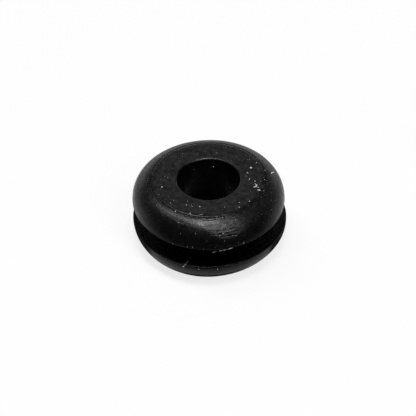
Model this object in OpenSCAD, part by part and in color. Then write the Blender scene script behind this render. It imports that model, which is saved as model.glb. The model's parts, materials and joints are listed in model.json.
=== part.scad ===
// Rubber grommet: one moulded ring with two thick, round-edged flanges,
// a groove between them that grips a panel, and a straight bore for a cable.
// The bore stands on the Z axis and the lower face lies on Z = 0.

/* [Flanges] */
// Diameter across both flanges
outer_d = 16; // [13:0.1:24]
// Thickness of each flange, measured along the bore
flange_t = 2.75; // [1.5:0.05:5]
// Radius of the rounding from each flat face down to the rim
round_r = 2.55; // [0.4:0.05:2.6]

/* [Bore] */
// Diameter of the hole for the cable
bore_d = 6.5; // [3:0.1:8.5]
// Radius of the rounding at both ends of the hole
bore_edge_r = 0.25; // [0.05:0.05:0.6]

/* [Panel groove] */
// Diameter across the floor of the groove, the size of the panel's hole
groove_d = 10; // [8:0.1:14]
// Width of the groove, the thickness of the panel
groove_w = 2.3; // [0.8:0.1:5]
// Radius of the fillets where the groove's floor meets its walls
groove_root_r = 0.2; // [0.05:0.05:0.35]
// Radius of the flanges' corners on both sides of the groove
lip_r = 0.12; // [0.05:0.01:0.3]

/* [Moulding line] */
// Distance of the fine line on each face in from the flange's rim
line_inset = 1.9; // [1:0.05:3.5]
// Width of the line
line_w = 0.2; // [0.1:0.02:0.4]
// Depth of the line
line_depth = 0.04; // [0.02:0.01:0.08]

/* [Hidden] */

outer_r = outer_d / 2;
bore_r = bore_d / 2;
groove_r = groove_d / 2;
height = 2 * flange_t + groove_w;

// The rounding leaves room for the lip below it and for the bore's edge beside it
face_round_r = min(round_r, flange_t - lip_r, outer_r - bore_r - bore_edge_r);

// Where the moulding line crosses the face or its rounding, seen from the rounding's centre
line_across = max(face_round_r - line_inset, 0);
line_up = sqrt(pow(face_round_r, 2) - pow(line_across, 2));
line_r = outer_r - line_inset;
// A shallow arc of this radius cuts the line to its width and depth
line_cut_r = (pow(line_w / 2, 2) + pow(line_depth, 2)) / (2 * line_depth);
line_lift = (line_cut_r - line_depth) / face_round_r;

// How far a cutting shape runs past the surface it cuts
overlap = 0.1;
turn_facets = 96;
arc_facets = 96;
small_arc_facets = 32;

rubber_black = [0.07, 0.07, 0.075];

// What comes off a square corner at the origin, between +X and +Y, to leave an arc
module corner_off(radius, facets = small_arc_facets) {
    difference() {
        translate([-overlap, -overlap]) square(radius + overlap);
        translate([radius, radius]) circle(radius, $fn = facets);
    }
}

// Repeats a shape of the lower flange on the upper one
module on_both_flanges() {
    children();
    translate([0, height]) mirror([0, 1]) children();
}

// The panel's space between the flanges, with filleted corners at its floor
module groove_section() {
    difference() {
        translate([groove_r, flange_t]) square([outer_r - groove_r + overlap, groove_w]);
        on_both_flanges() translate([groove_r, flange_t]) corner_off(groove_root_r);
    }
}

// The fine line that the mould's face leaves on the lower flange
module line_section() {
    translate([
        line_r + line_across * line_lift,
        face_round_r - line_up * (1 + line_lift)
    ])
        circle(line_cut_r, $fn = small_arc_facets);
}

// Half of the ring's section, from the bore's wall out to the rim
module ring_section() {
    difference() {
        translate([bore_r, 0]) square([outer_r - bore_r, height]);
        groove_section();
        on_both_flanges() {
            translate([bore_r, 0]) corner_off(bore_edge_r);
            translate([outer_r, 0]) mirror([1, 0]) corner_off(face_round_r, arc_facets);
            translate([outer_r, flange_t]) mirror([1, 0]) mirror([0, 1]) corner_off(lip_r);
            line_section();
        }
    }
}

module grommet() {
    color(rubber_black)
        rotate_extrude($fn = turn_facets) ring_section();
}

grommet();
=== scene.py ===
"""The looks of a moulded rubber grommet: black rubber, matt on its flat faces and
satin on its roundings, with the dust, the lint and the torn flash that lie on it.

Meshes are made in millimetres, and finished_object() takes them to metres. The
materials and the stage are in metres. Pixel places are in the photograph's
416 x 416 frame, measured from its top left corner.
"""
import json
import math
import random

import bmesh
import bpy
from mathutils import Matrix, Vector, noise
from mathutils.bvhtree import BVHTree


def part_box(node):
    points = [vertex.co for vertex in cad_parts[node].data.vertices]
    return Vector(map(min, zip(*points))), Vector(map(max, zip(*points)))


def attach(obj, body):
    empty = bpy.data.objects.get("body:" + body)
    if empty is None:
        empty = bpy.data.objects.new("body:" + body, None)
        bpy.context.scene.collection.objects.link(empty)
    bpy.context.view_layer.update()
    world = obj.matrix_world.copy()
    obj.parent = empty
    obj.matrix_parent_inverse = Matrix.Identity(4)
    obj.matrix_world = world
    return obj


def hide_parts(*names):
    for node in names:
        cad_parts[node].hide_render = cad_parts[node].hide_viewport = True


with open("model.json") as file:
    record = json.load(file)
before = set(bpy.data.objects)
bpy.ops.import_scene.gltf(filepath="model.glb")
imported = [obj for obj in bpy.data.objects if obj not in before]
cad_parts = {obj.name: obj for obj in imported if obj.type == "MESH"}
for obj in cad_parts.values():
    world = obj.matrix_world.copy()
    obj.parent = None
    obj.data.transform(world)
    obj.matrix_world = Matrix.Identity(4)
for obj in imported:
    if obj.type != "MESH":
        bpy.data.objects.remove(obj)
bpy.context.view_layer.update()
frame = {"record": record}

MM = 0.001
lowest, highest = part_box("grommet")
bore_mount = next(m for m in frame["record"]["mounts"] if m["name"] == "bore")

# The ring's section
OUTER_R = (highest.x - lowest.x) / 2 / MM
HEIGHT = (highest.z - lowest.z) / MM
BORE_R = bore_mount["dims"]["r_mm"]
BORE_EDGE_R = (HEIGHT - bore_mount["dims"]["length_mm"]) / 2
FLANGE_T = 2.75
ROUND_R = 2.55
GROOVE_R = 5.0
GROOVE_ROOT_R = 0.2

# The flanges' corners beside the groove: the lower flange's is the sharper one
LIP_R = 0.12
LOWER_LIP_R = 0.02

# The moulding line, a little further in and shallower than the solid's
LINE_INSET = 2.06
LINE_W = 0.22
LINE_DEPTH = 0.02

# How closely the section's points lie, and how many copies of it make the ring
STEP = 0.12
SMALL_ARC_STEP = 0.035
LINE_STEP = 0.025
LINE_MARGIN = 0.75 * LINE_W
LIP_STEP = 0.02
LIP_MARGIN = 0.2
TURNS = 300

# The rubber's slight warp: each flange's radius swings twice and three times round the ring
TOP_WARP = {"twice": (-0.116, -0.042), "thrice": (-0.038, 0.058)}
LOWER_WARP = {"twice": (0.024, -0.056), "thrice": (0.084, 0.11)}
LOWER_SHIFT = (0.033, 0.016)

# Unevenness of the moulded surface: size of the waves and their height
WAVES = [(3.0, 0.012), (0.8, 0.004)]

# Camera: where the photograph was taken from
IMAGE_SIZE = 416
SENSOR_W = 36.0
FOCAL_PX = 2500
PX_PER_MM = 9.58
CAMERA_ELEVATION = math.radians(40.464)
CAMERA_ROLL = math.radians(1.094)
CENTRE_PX = (208.93, 207.48)
CLIP = (0.01, 10)

SEED = 6404

# Dust specks seen in the photograph: where each lies and how wide it is, in pixels
SPECKS = [
    (250.9, 168.1, 2.30), (161.9, 187.4, 1.55), (199.8, 206.8, 1.19), (249.5, 179.4, 1.53),
    (255.0, 181.3, 1.51), (192.0, 206.5, 1.04), (213.4, 166.5, 0.97), (239.3, 207.4, 1.11),
    (247.6, 173.2, 1.76), (175.5, 211.4, 1.20), (187.5, 201.3, 0.69), (190.1, 213.6, 1.25),
    (224.2, 207.3, 1.02), (249.5, 201.4, 1.24), (256.4, 162.9, 1.14), (167.5, 177.9, 0.70),
    (170.4, 203.0, 0.86), (186.4, 205.0, 1.00), (191.9, 204.5, 0.60), (193.8, 169.3, 0.63),
    (198.9, 269.0, 0.81), (216.4, 153.4, 0.59), (223.0, 233.5, 0.81), (227.4, 231.1, 0.87),
    (235.6, 220.1, 0.84), (246.2, 176.0, 0.94), (265.0, 170.6, 0.98), (159.4, 194.5, 0.64),
    (164.8, 176.4, 0.66), (195.2, 233.5, 0.52), (217.4, 269.2, 0.65), (219.9, 235.9, 0.87),
    (222.7, 217.4, 0.77), (224.4, 241.1, 0.41), (239.3, 202.6, 0.97), (249.5, 159.4, 0.61),
    (263.5, 190.8, 0.73), (264.6, 179.9, 0.84), (271.6, 209.6, 0.50), (172.9, 243.9, 0.54),
    (173.6, 200.6, 0.64), (178.7, 222.5, 0.70), (180.3, 233.5, 0.49), (187.6, 246.6, 0.49),
    (203.6, 249.3, 0.51), (231.3, 160.5, 0.50), (243.7, 242.7, 0.98), (247.4, 159.4, 0.43),
    (259.5, 184.4, 0.41), (260.8, 181.3, 0.59), (263.5, 177.9, 0.38), (160.5, 179.6, 0.34),
    (192.6, 247.1, 0.76),
]

# Fine dust on every side, by number of crumbs and range of widths
FINE_DUST_COUNT = 420
FINE_DUST_W = (0.012, 0.034)
FINE_DUST_TILT_DEG = (0, 90, 20)
FINE_DUST_HEARTS = (HEIGHT - ROUND_R, HEIGHT - ROUND_R, HEIGHT - ROUND_R, ROUND_R)
FINE_DUST_INNER_R = BORE_R + 0.3

# A crumb's shape: its unevenness, the lumps in a width, and how it is turned and squashed
CRUMB_UNEVEN = 0.6
CRUMB_LUMPS = 2.2
CRUMB_TURN = (0, 6.28)
CRUMB_DEPTH = (0.6, 1)
CRUMB_HEIGHT = (0.45, 0.7)
CRUMB_LIFT = 0.2
CRUMB_PHASE = (0, 50)

# Lint seen in the photograph: radius in pixels, and the places that each fibre runs through
LINT = [
    (0.55, [(254.9, 184.0), (256.9, 185.6), (255.6, 186.9), (253.0, 187.6)]),
    (0.12, [(255.6, 186.9), (259.6, 187.7)]),
    (0.55, [(257.6, 190.3), (260.7, 190.6)]),
    (0.42, [(270.9, 173.8), (271.8, 172.8), (273.6, 172.2), (274.6, 173.2)]),
    (0.26, [(182.9, 266.9), (184.6, 265.6)]),
    (0.15, [(184.4, 265.8), (186.2, 263.0)]),
    (0.09, [(186.0, 263.3), (188.4, 260.6)]),
    (0.10, [(199.6, 214.5), (203.9, 214.3)]),
    (0.08, [(231.8, 235.8), (237.2, 235.2)]),
]
LINT_STEP_PX = 0.5
LINT_LIFT = 0.7
LINT_TIP = 0.35

# A fibre's section: its sides, its unevenness and the bumps to a millimetre
FIBRE_SIDES = 8
FIBRE_UNEVEN = 0.35
FIBRE_BUMPS = 9

# The torn flash under the upper flange's lip, from its loose end to where it joins the lip:
# degrees round the ring, drop below the lip and radius. Only its thicker bits catch the light.
FLASH = [
    (271.6, 0.20, 0.004), (272.4, 0.19, 0.010), (273.8, 0.18, 0.010), (274.3, 0.17, 0.004),
    (277.0, 0.13, 0.004), (277.2, 0.12, 0.015), (278.5, 0.11, 0.015), (278.6, 0.10, 0.004),
    (280.0, 0.08, 0.004), (280.1, 0.08, 0.018), (281.6, 0.07, 0.018), (281.8, 0.06, 0.004),
    (283.3, 0.03, 0.004), (283.6, 0.03, 0.023), (285.6, 0.00, 0.023), (287.0, -0.03, 0.005),
]
FLASH_STEPS = 6

# The rubber's own black, the dull bloom on it, and how much it mirrors
RUBBER_BLACK = (0.0004, 0.0004, 0.0004, 1)
BLOOM_GREY = (0.0138, 0.0136, 0.0134, 1)
SPECULAR_LEVEL = 0.44

# Noise in the rubber: size in millimetres, detail and roughness
GRAIN = (0.2, 2.0, 0.6)
MOTTLE = (0.55, 3.0, 0.6)
PATCHES = (1.8, 2.0, 0.5)
STREAKS = (1.1, 3.0, 0.6)

# The bloom: grain's share of it, where in the noise it shows, and its mean there
BLOOM_GRAIN = 0.6
BLOOM_EDGE = (0.50, 0.61)
BLOOM_MEAN = 0.25
ROUNDING_BLOOM_MEAN = 0.36
ROUNDING_BLOTCHES = 0.12
# Bloom left on the outer walls; taking the rest away there is painted shade
WALL_SHADED_BLOOM = 0.5

# Where the bloom changes: distances from the axis, from the moulding line and from mid-height. Taking
# it out of the bore and the groove, and thinning it on the outer walls and along the moulding line at
# the front, is painted shade
# Painted shade: no bloom in the bore
BLOOM_FROM_BORE = ((BORE_R + 0.02) * MM, (BORE_R + 0.3) * MM)
BLOOM_ROUNDING = (5.6 * MM, 7.2 * MM)
BLOOM_WALL = (6.6 * MM, 7.9 * MM)
# The moulding line's painted shade: its place, its width, where the front is, and the bloom left in
# it
LINE_PLACE = (OUTER_R - LINE_INSET + 0.04) * MM
LINE_SIDE = (0.06 * MM, 0.18 * MM)
LINE_FRONT = (-4.6 * MM, -2.0 * MM)
LINE_SHADED_BLOOM = (0.1, 0.75)
# Painted shade: no bloom in the groove
GROOVE_SIDE = (1.17 * MM, 1.3 * MM)

# Roughness: on the faces, what the roundings and the bore add, and what the noise adds
FACE_ROUGHNESS = 0.50
ROUNDING_ROUGHNESS = -0.215
BORE_ROUGHNESS = -0.2
MOTTLE_ROUGHNESS = (0.7, 0.30)
BORE_MOTTLE = 0.1
PATCH_ROUGHNESS = 0.12
FACE_EDGE = (5.4 * MM, 6.0 * MM)
MOTTLE_EDGE = (5.4 * MM, 6.4 * MM)
BORE_RIM = ((BORE_R + 0.05) * MM, (BORE_R + 0.2) * MM)

# Relief: heights of the grain, the dents and the streaks, and where streaks are strongest
GRAIN_HEIGHT = 0.017 * MM
DENT_HEIGHT = 0.011 * MM
STREAK_HEIGHT = 0.09 * MM
STREAK_LENGTH = 4 * MM
STREAK_FINENESS = 5.0
SCUFF_PLACE = (1.9, -7.1, 7.0)
SCUFF_REACH = (0.8 * MM, 3.0 * MM)
SCUFF_STRENGTH = (1.0, 0.28)

# Dust and torn rubber: pale and dark tones, and size of their noise
DUST_TONES = ((0.85, 0.84, 0.82), (0.60, 0.59, 0.57))
DUST_SIZE = 0.05
TORN_TONES = ((0.80, 0.80, 0.80), (0.30, 0.30, 0.30))
TORN_SIZE = 0.12
SPECKLE_EDGE = (0.35, 0.65)
SPECKLE_HEIGHT = 0.004 * MM
SPECKLE_RELIEF = 0.6
SPECKLE_ROUGHNESS = (0.7, 0.2)

# The stage: sizes in metres, whites, and how far the floor glows of itself: near and far
CIRCLE_SIDES = 96
FLOOR_R = 0.8
FLOOR_WHITE = 0.93
GLOW_WHITE = 1.04
FLOOR_GLOW = (0.75, 0.97)
FLOOR_GLOW_REACH = (0.03, 0.45)
BACKDROP_H = 0.6
BACKDROP_WHITE = 1.01

# The painted reflection: a dim ground that only the rubber's mirror shows. It starts beside the part
# and darkens towards the camera, with painted shadow under and beside the part
GROUND_LIFT = 0.02 * MM
GROUND_INNER_R = 5.9 * MM
GROUND_IN_BORE_R = (BORE_R - 0.05) * MM
GROUND_SLANT = -0.05
GROUND_DEPTH = (-13 * MM, 9 * MM)
PAINTED_GROUND_GREYS = (0.032, 0.92)
# Painted shadow: the reflected ground is black under the part
GROUND_NEAR = (4 * MM, 6 * MM)
GROUND_FAR = (13 * MM, 24 * MM)
GROUND_FAR_SHARE = 0.6
# Painted shadow on the reflected ground close beside the flanks
SIDE_SHADE_R = (11 * MM, 9.8 * MM)
SIDE_SHADE_Y = (-5.4 * MM, -3.4 * MM)
SIDE_SHADE = -0.95
COVER_R = (9.6 * MM, 11 * MM)
COVER_SHARES = (0.61, 1.0)
COVER_FRONT_Y = (-8.3 * MM, -10.8 * MM)
# Painted contact shadow on the reflected ground under the part's front
CONTACT_R = (8.2 * MM, 7.4 * MM)
CONTACT_Y = (-5.4 * MM, -6.6 * MM)
# Painted shade in the bore: the reflected ground hides all of the floor's reflection there
COVER_BORE_R = (5 * MM, 4 * MM)

# Softboxes: where from, how far, width and depth, light in units of white, and the long way
LAMPS = {
    "key_softbox": ((0.015, -0.12, 0.985), 1.0, (0.34, 0.27), 12.6, (0.70, -0.71, 0)),
    "long_softbox": ((-0.035, -0.20, 0.97), 1.05, (2.4, 0.21), 5.2, (0.69, -0.72, 0)),
    "side_softbox": ((0.40, -0.42, 0.81), 1.0, (0.50, 0.30), 1.5, (0.69, -0.72, 0)),
}

# The surroundings: dim over the camera, lighter beyond the part and lightest at the horizon there
SKY_Y = (-0.35, 0.5)
SKY_LEVELS = (0.017, 0.113)
HORIZON_Y = (0.55, 0.95)
HORIZON_LEVELS = (0.6, 12.0)
HORIZON_Z = (0.45, 0.0)


def straight(start, end, step=STEP):
    """Points from start towards end, without the end itself."""
    count = max(1, round(math.dist(start, end) / step))
    return [tuple(a + (b - a) * i / count for a, b in zip(start, end)) for i in range(count)]


def arc(centre, radius, start_deg, end_deg, step=SMALL_ARC_STEP):
    """Points along an arc, without its end."""
    sweep = math.radians(end_deg - start_deg)
    count = max(4, round(abs(sweep) * radius / step))
    angles = [math.radians(start_deg) + sweep * i / count for i in range(count)]
    return [(centre[0] + radius * math.cos(a), centre[1] + radius * math.sin(a)) for a in angles]


def rounding_with_line():
    """The lower flange's rounding from its face to its rim, with the fine moulding line cut in."""
    centre = (OUTER_R - ROUND_R, ROUND_R)
    line_deg = 270 + math.degrees(math.asin((ROUND_R - LINE_INSET) / ROUND_R))
    reach_deg = math.degrees(LINE_MARGIN / ROUND_R)
    points = arc(centre, ROUND_R, 270, line_deg - reach_deg, STEP)
    points += arc(centre, ROUND_R, line_deg - reach_deg, line_deg + reach_deg, LINE_STEP)
    points += arc(centre, ROUND_R, line_deg + reach_deg, 360, STEP)
    cut = []
    for x, z in points:
        turn = math.degrees(math.atan2(z - centre[1], x - centre[0])) % 360
        along = math.radians((turn or 360) - line_deg) * ROUND_R
        depth = LINE_DEPTH * max(0, 1 - (2 * along / LINE_W) ** 2)
        keep = 1 - depth / ROUND_R
        cut.append((centre[0] + (x - centre[0]) * keep, centre[1] + (z - centre[1]) * keep))
    return cut


def half_section(lip_r):
    """From half-way up the bore's wall, round the lower flange, to half-way up the groove's floor."""
    face_edge = (BORE_R + BORE_EDGE_R, 0)
    lip_end = (OUTER_R - LIP_MARGIN, FLANGE_T)
    points = straight((BORE_R, HEIGHT / 2), (BORE_R, BORE_EDGE_R))
    points += arc((BORE_R + BORE_EDGE_R, BORE_EDGE_R), BORE_EDGE_R, 180, 270)
    points += straight(face_edge, (OUTER_R - ROUND_R, 0))
    points += rounding_with_line()
    points += straight((OUTER_R, ROUND_R), (OUTER_R, FLANGE_T - lip_r), LIP_STEP)
    points += arc((OUTER_R - lip_r, FLANGE_T - lip_r), lip_r, 0, 90)
    points += straight((OUTER_R - lip_r, FLANGE_T), lip_end, LIP_STEP)
    points += straight(lip_end, (GROOVE_R + GROOVE_ROOT_R, FLANGE_T))
    points += arc((GROOVE_R + GROOVE_ROOT_R, FLANGE_T + GROOVE_ROOT_R), GROOVE_ROOT_R, 270, 180)
    points += straight((GROOVE_R, FLANGE_T + GROOVE_ROOT_R), (GROOVE_R, HEIGHT / 2))
    return points + [(GROOVE_R, HEIGHT / 2)]


def whole_section():
    """Both flanges. The upper one is the lower one turned over, with its own lip."""
    upper = [(r, HEIGHT - z) for r, z in reversed(half_section(LIP_R)[1:-1])]
    return half_section(LOWER_LIP_R) + upper


def warped(r, z, turn):
    """A point of the ring after the rubber's slight warp."""
    off_middle = (z - HEIGHT / 2) / (HEIGHT / 2)
    weight = math.sqrt(abs(off_middle))
    swing = TOP_WARP if off_middle > 0 else LOWER_WARP
    grow = sum(
        swing[name][0] * math.cos(n * turn) + swing[name][1] * math.sin(n * turn)
        for name, n in (("twice", 2), ("thrice", 3))
    )
    r += grow * weight * (r / OUTER_R) ** 2
    shift = LOWER_SHIFT if off_middle < 0 else (0, 0)
    return (r * math.cos(turn) + shift[0] * weight, r * math.sin(turn) + shift[1] * weight, z)


def ring_mesh(name, section):
    """The section turned round the bore's axis."""
    mesh = bpy.data.meshes.new(name)
    points = [warped(r, z, 2 * math.pi * i / TURNS) for i in range(TURNS) for r, z in section]
    size = len(section)
    faces = []
    for i in range(TURNS):
        here, after = i * size, (i + 1) % TURNS * size
        for j in range(size):
            k = (j + 1) % size
            faces.append((here + j, after + j, after + k, here + k))
    mesh.from_pydata(points, [], faces)
    mesh.update()
    return mesh


def roughen(mesh):
    """Moves each point a little along its normal, and keeps it between the two faces' planes."""
    moved = []
    for place, normal in [(v.co.copy(), v.normal.copy()) for v in mesh.vertices]:
        rise = sum(h * noise.noise(place / size) for size, h in WAVES)
        place += normal * rise
        moved += [place.x, place.y, min(max(place.z, 0), HEIGHT)]
    mesh.vertices.foreach_set("co", moved)
    mesh.update()


def finished_object(name, mesh, material):
    """Takes a mesh in millimetres to metres and makes it a piece of the part."""
    mesh.transform(Matrix.Scale(MM, 4))
    mesh.shade_smooth()
    mesh.materials.append(material)
    piece = bpy.data.objects.new(name, mesh)
    bpy.context.scene.collection.objects.link(piece)
    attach(piece, "root")
    return piece


def surface_tree(mesh):
    """A mesh's surface, for finding what a ray meets."""
    return BVHTree.FromPolygons([v.co for v in mesh.vertices], [p.vertices for p in mesh.polygons])


def seen_at(tree, x, y):
    """The place on the rubber, and its normal, at a pixel of the photograph."""
    right, up, back = camera_axes()
    aim = right * (x - IMAGE_SIZE / 2) / FOCAL_PX - up * (y - IMAGE_SIZE / 2) / FOCAL_PX - back
    place, normal, _, _ = tree.ray_cast(camera_place(), aim.normalized())
    return place, normal


def mesh_from(bm, name):
    """Ends a bmesh and gives its mesh."""
    mesh = bpy.data.meshes.new(name)
    bm.to_mesh(mesh)
    bm.free()
    return mesh


def add_crumb(bm, place, normal, width, rng):
    """An uneven lump of dust that sits on the surface."""
    spin = Matrix.Rotation(rng.uniform(*CRUMB_TURN), 3, "Z")
    turn = normal.to_track_quat("Z", "Y").to_matrix() @ spin
    squash = Matrix.Diagonal((1, rng.uniform(*CRUMB_DEPTH), rng.uniform(*CRUMB_HEIGHT)))
    made = bmesh.ops.create_icosphere(bm, subdivisions=2, radius=width / 2)["verts"]
    phase = Vector([rng.uniform(*CRUMB_PHASE) for _ in range(3)])
    for vertex in made:
        swell = 1 + CRUMB_UNEVEN * noise.noise(vertex.co / width * CRUMB_LUMPS + phase)
        vertex.co = place + normal * width * CRUMB_LIFT + turn @ (squash @ (vertex.co * swell))


def dust_mesh(tree):
    """The photograph's specks, and fine dust all round."""
    rng = random.Random(SEED)
    bm = bmesh.new()
    for x, y, width_px in SPECKS:
        place, normal = seen_at(tree, x, y)
        add_crumb(bm, place, normal, width_px / PX_PER_MM, random.Random(f"{x} {y}"))
    for _ in range(FINE_DUST_COUNT):
        turn = rng.uniform(0, 2 * math.pi)
        tilt = math.radians(rng.triangular(*FINE_DUST_TILT_DEG))
        outward = Vector((math.cos(turn), math.sin(turn), 0))
        aim = outward * math.sin(tilt) + Vector((0, 0, math.cos(tilt)))
        heart = outward * rng.uniform(FINE_DUST_INNER_R, OUTER_R - ROUND_R)
        heart.z = rng.choice(FINE_DUST_HEARTS)
        place, normal, _, _ = tree.ray_cast(heart + aim * 2 * OUTER_R, -aim)
        if place is not None and place.z > ROUND_R:
            add_crumb(bm, place, normal, rng.uniform(*FINE_DUST_W), rng)
    return mesh_from(bm, "dust_specks")


def add_fibre(bm, places, normals, radii):
    """A thin uneven thread whose heart runs through the places."""
    rings = []
    last = len(places) - 1
    angles = [2 * math.pi * k / FIBRE_SIDES for k in range(FIBRE_SIDES)]
    for i, (place, normal, radius) in enumerate(zip(places, normals, radii)):
        along = (places[min(i + 1, last)] - places[max(i - 1, 0)]).normalized()
        across = along.cross(normal).normalized()
        out = across.cross(along)
        thick = radius * (1 + FIBRE_UNEVEN * noise.noise(place * FIBRE_BUMPS))
        ring = [place + thick * (across * math.cos(a) + out * math.sin(a)) for a in angles]
        rings.append([bm.verts.new(p) for p in ring])
    for one, two in zip(rings, rings[1:]):
        for k in range(FIBRE_SIDES):
            j = (k + 1) % FIBRE_SIDES
            bm.faces.new((one[k], one[j], two[j], two[k]))
    bm.faces.new(rings[0][::-1])
    bm.faces.new(rings[-1])


def lint_mesh(tree):
    """The photograph's fibres, laid on the rubber and tapered to their ends."""
    bm = bmesh.new()
    for radius_px, corners in LINT:
        radius = radius_px / PX_PER_MM
        places, normals = [], []
        for start, end in zip(corners, corners[1:]):
            for x, y in straight(start, end, LINT_STEP_PX):
                place, normal = seen_at(tree, x, y)
                places.append(place + normal * radius * LINT_LIFT)
                normals.append(normal)
        count = len(places)
        swell = [math.sin(math.pi * (i + 0.5) / count) ** 0.5 for i in range(count)]
        add_fibre(bm, places, normals, [radius * (LINT_TIP + (1 - LINT_TIP) * s) for s in swell])
    return mesh_from(bm, "lint_fibres")


def flash_mesh():
    """A thin torn thread of rubber that hangs from the upper flange's lip."""
    bm = bmesh.new()
    places, normals, radii = [], [], []
    for (turn, drop, radius), after in zip(FLASH, FLASH[1:]):
        for i in range(FLASH_STEPS):
            t = i / FLASH_STEPS
            angle = math.radians(turn + (after[0] - turn) * t)
            x, y, z = warped(OUTER_R, HEIGHT - FLANGE_T, angle)
            places.append(Vector((x, y, z - drop - (after[1] - drop) * t)))
            normals.append(Vector((math.cos(angle), math.sin(angle), 0)))
            radii.append(radius + (after[2] - radius) * t)
    add_fibre(bm, places, normals, radii)
    return mesh_from(bm, "torn_flash")


class Nodes:
    """A node tree's nodes and links, made by short calls."""

    def __init__(self, owner):
        owner.use_nodes = True
        self.tree = owner.node_tree
        self.tree.nodes.clear()

    def add(self, kind, settings=None, **inputs):
        """Makes a node; inputs are named as its sockets are, with _ for a space."""
        made = self.tree.nodes.new(kind)
        for key, value in (settings or {}).items():
            setattr(made, key, value)
        for key, value in inputs.items():
            self.put(made, key.replace("_", " "), value)
        return made

    def put(self, node, key, value):
        """Gives a socket a value or another node's output; key is its name or its number."""
        socket = node.inputs[int(key) if key.isdigit() else key]
        if isinstance(value, bpy.types.NodeSocket):
            self.tree.links.new(value, socket)
        else:
            socket.default_value = value

    def math(self, operation, first, second=0.0, third=0.0):
        made = self.tree.nodes.new("ShaderNodeMath")
        made.operation = operation
        for key, value in zip("012", (first, second, third)):
            self.put(made, key, value)
        return made.outputs[0]

    def vector(self, operation, *vectors):
        made = self.add("ShaderNodeVectorMath", {"operation": operation})
        for key, value in zip("01", vectors):
            self.put(made, key, value)
        return made.outputs

    def smooth(self, value, edges, low=0.0, high=1.0):
        """Runs smoothly from low, where value is at the first edge, to high at the second."""
        made = self.add("ShaderNodeMapRange", {"interpolation_type": "SMOOTHSTEP"}, Value=value)
        for key, number in zip(("From Min", "From Max", "To Min", "To Max"), (*edges, low, high)):
            self.put(made, key, number)
        return made.outputs["Result"]

    def noise(self, vector, size, detail, rough):
        """Noise whose features are size millimetres wide."""
        made = self.add("ShaderNodeTexNoise", Vector=vector, Detail=detail, Roughness=rough)
        made.inputs["Scale"].default_value = 1 / (size * MM)
        return made.outputs["Fac"]

    def finish(self, kind, surface):
        self.put(self.add(kind), "Surface", surface)


def rubber_colour(n, axes, radius, grain, mottle):
    """Black with a dull bloom on the faces. Less bloom on the walls, none in the bore or groove and
    little along the moulding line at the front are painted shade.
    """
    bloom = n.math("MULTIPLY", grain, BLOOM_GRAIN)
    bloom = n.math("MULTIPLY_ADD", mottle, 1 - BLOOM_GRAIN, bloom)
    blotchy = n.math("SUBTRACT", n.smooth(bloom, BLOOM_EDGE), BLOOM_MEAN)
    even = n.smooth(radius, BLOOM_ROUNDING, BLOOM_MEAN, ROUNDING_BLOOM_MEAN)
    contrast = n.smooth(radius, BLOOM_ROUNDING, 1.0, ROUNDING_BLOTCHES)
    blotchy = n.math("MULTIPLY_ADD", blotchy, contrast, even)

    # Painted shade: less bloom on the outer walls, and none in the bore
    wall_shade = n.smooth(radius, BLOOM_WALL, 1.0, WALL_SHADED_BLOOM)
    amount = n.math("MULTIPLY", n.smooth(radius, BLOOM_FROM_BORE), wall_shade)
    # Painted shade along the moulding line, deepest at the front
    from_line = n.math("ABSOLUTE", n.math("SUBTRACT", radius, LINE_PLACE))
    line_shade = n.smooth(axes[1], LINE_FRONT, *LINE_SHADED_BLOOM)
    amount = n.math("MULTIPLY", amount, n.smooth(from_line, LINE_SIDE, line_shade))
    # Painted shade: no bloom in the groove between the flanges
    off_middle = n.math("ABSOLUTE", n.math("SUBTRACT", axes[2], HEIGHT / 2 * MM))
    amount = n.math("MULTIPLY", amount, n.smooth(off_middle, GROOVE_SIDE))

    tone = n.add("ShaderNodeMix", {"data_type": "RGBA"})
    n.put(tone, "Factor", n.math("MULTIPLY", blotchy, amount))
    tone.inputs["A"].default_value = RUBBER_BLACK
    tone.inputs["B"].default_value = BLOOM_GREY
    return tone.outputs["Result"]


def rubber_roughness(n, radius, mottle, patches):
    """Matt on the faces, satin on the roundings and in the bore."""
    rough = n.math("MULTIPLY_ADD", n.smooth(radius, FACE_EDGE), ROUNDING_ROUGHNESS, FACE_ROUGHNESS)
    rough = n.math("ADD", rough, n.smooth(radius, BORE_RIM, BORE_ROUGHNESS, 0.0))
    out_of_bore = n.smooth(radius, BORE_RIM, BORE_MOTTLE)
    mottled = n.math("MULTIPLY", n.smooth(radius, MOTTLE_EDGE, *MOTTLE_ROUGHNESS), out_of_bore)
    rough = n.math("MULTIPLY_ADD", n.math("SUBTRACT", mottle, 0.5), mottled, rough)
    return n.math("MULTIPLY_ADD", n.math("SUBTRACT", patches, 0.5), PATCH_ROUGHNESS, rough)


def rubber_streaks(n, axes, level, radius):
    """Noise drawn out round the ring and fine across its section."""
    around = n.add("ShaderNodeSeparateXYZ", Vector=n.vector("NORMALIZE", level)[0]).outputs
    place = n.add("ShaderNodeCombineXYZ")
    n.put(place, "X", n.math("MULTIPLY", around[0], STREAK_LENGTH))
    n.put(place, "Y", n.math("MULTIPLY", around[1], STREAK_LENGTH))
    across = n.math("SUBTRACT", radius, axes[2])
    n.put(place, "Z", n.math("MULTIPLY", across, STREAK_FINENESS))
    return n.noise(place.outputs[0], *STREAKS)


def rubber_relief(n, place, grain, mottle, streaks):
    """Grain and dents everywhere, and streaks that are strongest round the scuffed place."""
    scuff_place = [c * MM for c in SCUFF_PLACE]
    from_scuff = n.vector("DISTANCE", place, scuff_place)["Value"]
    scuff = n.smooth(from_scuff, SCUFF_REACH, *SCUFF_STRENGTH)
    relief = n.add("ShaderNodeBump", Strength=1.0, Distance=GRAIN_HEIGHT, Height=grain)
    dents = n.add("ShaderNodeBump", Strength=1.0, Distance=DENT_HEIGHT, Height=mottle)
    n.put(dents, "Normal", relief.outputs["Normal"])
    lines = n.add("ShaderNodeBump", Strength=scuff, Distance=STREAK_HEIGHT, Height=streaks)
    n.put(lines, "Normal", dents.outputs["Normal"])
    return lines.outputs["Normal"]


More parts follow.
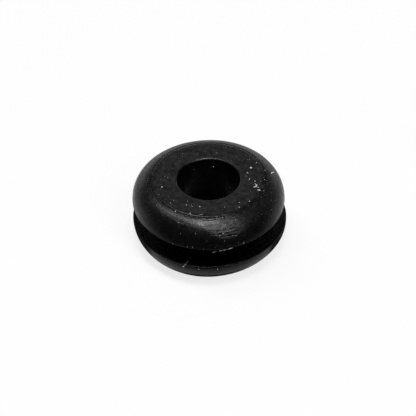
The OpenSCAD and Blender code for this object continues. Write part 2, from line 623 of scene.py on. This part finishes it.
def rubber_material():
    """The grommet's black rubber. Its places are measured from the part's own origin."""
    material = bpy.data.materials.new("black_rubber")
    n = Nodes(material)
    place = n.add("ShaderNodeTexCoord").outputs["Object"]
    axes = n.add("ShaderNodeSeparateXYZ", Vector=place).outputs
    level = n.add("ShaderNodeCombineXYZ", X=axes[0], Y=axes[1]).outputs[0]
    radius = n.vector("LENGTH", level)["Value"]
    grain = n.noise(place, *GRAIN)
    mottle = n.noise(place, *MOTTLE)
    patches = n.noise(place, *PATCHES)
    streaks = rubber_streaks(n, axes, level, radius)
    shader = n.add("ShaderNodeBsdfPrincipled", Specular_IOR_Level=SPECULAR_LEVEL)
    n.put(shader, "Base Color", rubber_colour(n, axes, radius, grain, mottle))
    n.put(shader, "Roughness", rubber_roughness(n, radius, mottle, patches))
    n.put(shader, "Normal", rubber_relief(n, place, grain, mottle, streaks))
    n.finish("ShaderNodeOutputMaterial", shader.outputs["BSDF"])
    return material


def speckled_material(name, pale, dark, size):
    """A dull surface whose tone wanders between two greys."""
    material = bpy.data.materials.new(name)
    n = Nodes(material)
    place = n.add("ShaderNodeTexCoord").outputs["Object"]
    wander = n.noise(place, size, 3.0, 0.6)
    tone = n.add("ShaderNodeMix", {"data_type": "RGBA"})
    n.put(tone, "Factor", n.smooth(wander, SPECKLE_EDGE))
    tone.inputs["A"].default_value = (*dark, 1)
    tone.inputs["B"].default_value = (*pale, 1)
    relief = n.add("ShaderNodeBump", Strength=SPECKLE_RELIEF, Distance=SPECKLE_HEIGHT, Height=wander)
    base, swing = SPECKLE_ROUGHNESS
    rough = n.math("MULTIPLY_ADD", wander, swing, base)
    shader = n.add("ShaderNodeBsdfPrincipled", Roughness=rough)
    n.put(shader, "Base Color", tone.outputs["Result"])
    n.put(shader, "Normal", relief.outputs["Normal"])
    n.finish("ShaderNodeOutputMaterial", shader.outputs["BSDF"])
    return material


def staged(name, bm):
    """Makes a mesh a piece of the stage."""
    made = bpy.data.objects.new(name, mesh_from(bm, name))
    bpy.context.scene.collection.objects.link(made)
    return made


def flat_ring(name, inner, outer, z):
    """A flat ring, or a disc where inner is nothing, that faces up."""
    bm = bmesh.new()
    angles = [2 * math.pi * i / CIRCLE_SIDES for i in range(CIRCLE_SIDES)]
    around = [Vector((math.cos(a), math.sin(a), 0)) for a in angles]
    outside = [bm.verts.new(d * outer + Vector((0, 0, z))) for d in around]
    if inner:
        inside = [bm.verts.new(d * inner + Vector((0, 0, z))) for d in around]
        for i in range(CIRCLE_SIDES):
            j = (i + 1) % CIRCLE_SIDES
            bm.faces.new((inside[i], outside[i], outside[j], inside[j]))
    else:
        bm.faces.new(outside)
    return staged(name, bm)


def pale_floor():
    """A white floor. Part of its white is its own, so that it stays pale where the lamps are weak."""
    floor = flat_ring("floor", 0, FLOOR_R, 0)
    material = bpy.data.materials.new("floor_paper")
    n = Nodes(material)
    away = n.vector("LENGTH", n.add("ShaderNodeTexCoord").outputs["Object"])["Value"]
    rays = n.add("ShaderNodeLightPath").outputs
    mirrored = n.math("MAXIMUM", rays["Is Glossy Ray"], rays["Is Transmission Ray"])
    seen = n.math("MAXIMUM", rays["Is Camera Ray"], mirrored)
    share = n.math("MULTIPLY", seen, n.smooth(away, FLOOR_GLOW_REACH, *FLOOR_GLOW))
    paper = n.add("ShaderNodeBsdfDiffuse", Color=(FLOOR_WHITE, FLOOR_WHITE, FLOOR_WHITE, 1))
    glow = n.add("ShaderNodeEmission", Strength=GLOW_WHITE)
    mix = n.add("ShaderNodeMixShader", Fac=share)
    n.put(mix, "1", paper.outputs[0])
    n.put(mix, "2", glow.outputs[0])
    n.finish("ShaderNodeOutputMaterial", mix.outputs[0])
    floor.data.materials.append(material)


def only_seen_by(piece, ray):
    """Hides a piece of the stage from every kind of ray but one."""
    for kind in ("camera", "diffuse", "glossy", "transmission", "volume_scatter", "shadow"):
        setattr(piece, "visible_" + kind, kind == ray)


def pale_backdrop():
    """A white wall far round the part, for views near the horizon. It casts no light."""
    bm = bmesh.new()
    angles = [2 * math.pi * i / CIRCLE_SIDES for i in range(CIRCLE_SIDES + 1)]
    low = [bm.verts.new((FLOOR_R * math.cos(a), FLOOR_R * math.sin(a), 0)) for a in angles]
    high = [bm.verts.new((v.co.x, v.co.y, BACKDROP_H)) for v in low]
    for i in range(CIRCLE_SIDES):
        bm.faces.new((low[i + 1], low[i], high[i], high[i + 1]))
    wall = staged("backdrop", bm)
    material = bpy.data.materials.new("backdrop_paper")
    n = Nodes(material)
    glow = n.add("ShaderNodeEmission", Strength=BACKDROP_WHITE)
    n.finish("ShaderNodeOutputMaterial", glow.outputs[0])
    wall.data.materials.append(material)
    only_seen_by(wall, "camera")


def painted_ground_grey(n, axes, away):
    """The painted reflection's grey: darker towards the camera, with painted shadow that is black
    under the part and dark close beside its flanks.
    """
    # Painted reflection: a grey that darkens towards the camera
    side = n.math("MULTIPLY_ADD", axes[0], GROUND_SLANT, axes[1])
    grey = n.smooth(side, GROUND_DEPTH, *PAINTED_GROUND_GREYS)
    grey = n.math("MULTIPLY", grey, n.smooth(away, GROUND_NEAR))
    grey = n.math("MULTIPLY", grey, n.smooth(away, GROUND_FAR, 1.0, GROUND_FAR_SHARE))
    shade = n.math("MULTIPLY", n.smooth(away, SIDE_SHADE_R), n.smooth(axes[1], SIDE_SHADE_Y))
    return n.math("MULTIPLY", grey, n.math("MULTIPLY_ADD", shade, SIDE_SHADE, 1.0)), shade


def painted_ground_cover(n, axes, away, shade):
    """How much of the floor's own reflection the painted ground hides; it hides all of it in the
    painted shadow beside the flanks, under the front and in the bore.
    """
    far = n.math("MAXIMUM", shade, n.smooth(away, COVER_R, *COVER_SHARES))
    front = n.smooth(axes[1], COVER_FRONT_Y)
    # Painted contact shadow under the part's front
    painted_contact_shadow = n.math("MULTIPLY", n.smooth(away, CONTACT_R), n.smooth(axes[1], CONTACT_Y))
    cover = n.math("MAXIMUM", far, n.math("MAXIMUM", front, painted_contact_shadow))
    return n.math("MAXIMUM", cover, n.smooth(away, COVER_BORE_R))


def reflected_ground():
    """A painted reflection: a dim ground for the part's walls to mirror, darker than the white floor.
    Only reflections show it.
    """
    material = bpy.data.materials.new("reflected_ground")
    n = Nodes(material)
    place = n.add("ShaderNodeTexCoord").outputs["Object"]
    axes = n.add("ShaderNodeSeparateXYZ", Vector=place).outputs
    away = n.vector("LENGTH", place)["Value"]
    grey, shade = painted_ground_grey(n, axes, away)
    colour = n.add("ShaderNodeCombineColor", Red=grey, Green=grey, Blue=grey).outputs[0]
    shader = n.add("ShaderNodeMixShader", Fac=painted_ground_cover(n, axes, away, shade))
    n.put(shader, "1", n.add("ShaderNodeBsdfTransparent").outputs[0])
    n.put(shader, "2", n.add("ShaderNodeBsdfDiffuse", Color=colour).outputs[0])
    n.finish("ShaderNodeOutputMaterial", shader.outputs[0])
    outside = flat_ring("ground_round_part", GROUND_INNER_R, FLOOR_R, GROUND_LIFT)
    inside = flat_ring("ground_in_bore", 0, GROUND_IN_BORE_R, GROUND_LIFT)
    for piece in (outside, inside):
        piece.data.materials.append(material)
        only_seen_by(piece, "glossy")


def soft_lamp(name, towards, distance, size, radiance, long_way):
    """A softbox that faces the part from the direction given; radiance is in units of white."""
    data = bpy.data.lights.new(name, "AREA")
    data.shape = "RECTANGLE"
    data.size, data.size_y = size
    data.energy = radiance * math.pi * size[0] * size[1]
    lamp = bpy.data.objects.new(name, data)
    bpy.context.scene.collection.objects.link(lamp)
    back = Vector(towards).normalized()
    side = (Vector(long_way) - Vector(long_way).project(back)).normalized()
    turn = Matrix((side, back.cross(side), back)).transposed().to_4x4()
    lamp.matrix_world = Matrix.Translation(back * distance) @ turn


def surroundings():
    """Dim above the camera's side and brighter beyond the part, as in the photograph."""
    world = bpy.data.worlds.new("studio")
    bpy.context.scene.world = world
    n = Nodes(world)
    aim = n.add("ShaderNodeTexCoord").outputs["Generated"]
    axes = n.add("ShaderNodeSeparateXYZ", Vector=aim).outputs
    level = n.smooth(axes[1], SKY_Y, *SKY_LEVELS)
    beyond = n.smooth(axes[1], HORIZON_Y, *HORIZON_LEVELS)
    gain = n.math("MULTIPLY_ADD", beyond, n.smooth(axes[2], HORIZON_Z), 1.0)
    back = n.add("ShaderNodeBackground", Strength=n.math("MULTIPLY", level, gain))
    n.finish("ShaderNodeOutputWorld", back.outputs[0])


def camera_axes():
    """The camera's right, up and back directions."""
    s, c = math.sin(CAMERA_ELEVATION), math.cos(CAMERA_ELEVATION)
    right, up, back = Vector((1, 0, 0)), Vector((0, s, c)), Vector((0, -c, s))
    turn = Matrix.Rotation(-CAMERA_ROLL, 3, back)
    return turn @ right, turn @ up, back


def camera_place():
    """The camera's place in millimetres."""
    right, up, back = camera_axes()
    aside = (IMAGE_SIZE / 2 - CENTRE_PX[0]) / PX_PER_MM
    above = (CENTRE_PX[1] - IMAGE_SIZE / 2) / PX_PER_MM
    return Vector((0, 0, HEIGHT / 2)) + back * FOCAL_PX / PX_PER_MM + right * aside + up * above


def photo_camera():
    """The camera that sees the part as the photograph does."""
    right, up, back = camera_axes()
    data = bpy.data.cameras.new("photo_camera")
    data.sensor_width = SENSOR_W
    data.lens = SENSOR_W * FOCAL_PX / IMAGE_SIZE
    data.clip_start, data.clip_end = CLIP
    camera = bpy.data.objects.new("photo_camera", data)
    bpy.context.scene.collection.objects.link(camera)
    turn = Matrix((right, up, back)).transposed().to_4x4()
    camera.matrix_world = Matrix.Translation(camera_place() * MM) @ turn
    bpy.context.scene.camera = camera


photo_camera()
for lamp_name, settings in LAMPS.items():
    soft_lamp(lamp_name, *settings)
surroundings()
pale_floor()
pale_backdrop()
reflected_ground()

ring = ring_mesh("grommet_rubber", whole_section())
roughen(ring)
ring_surface = surface_tree(ring)
grommet = finished_object("grommet_rubber", ring, rubber_material())
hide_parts("grommet")
dust = speckled_material("dust", *DUST_TONES, DUST_SIZE)
finished_object("dust_specks", dust_mesh(ring_surface), dust)
finished_object("lint_fibres", lint_mesh(ring_surface), dust)
torn_rubber = speckled_material("torn_rubber", *TORN_TONES, TORN_SIZE)
finished_object("torn_flash", flash_mesh(), torn_rubber)

bpy.context.scene.view_settings.view_transform = "Standard"
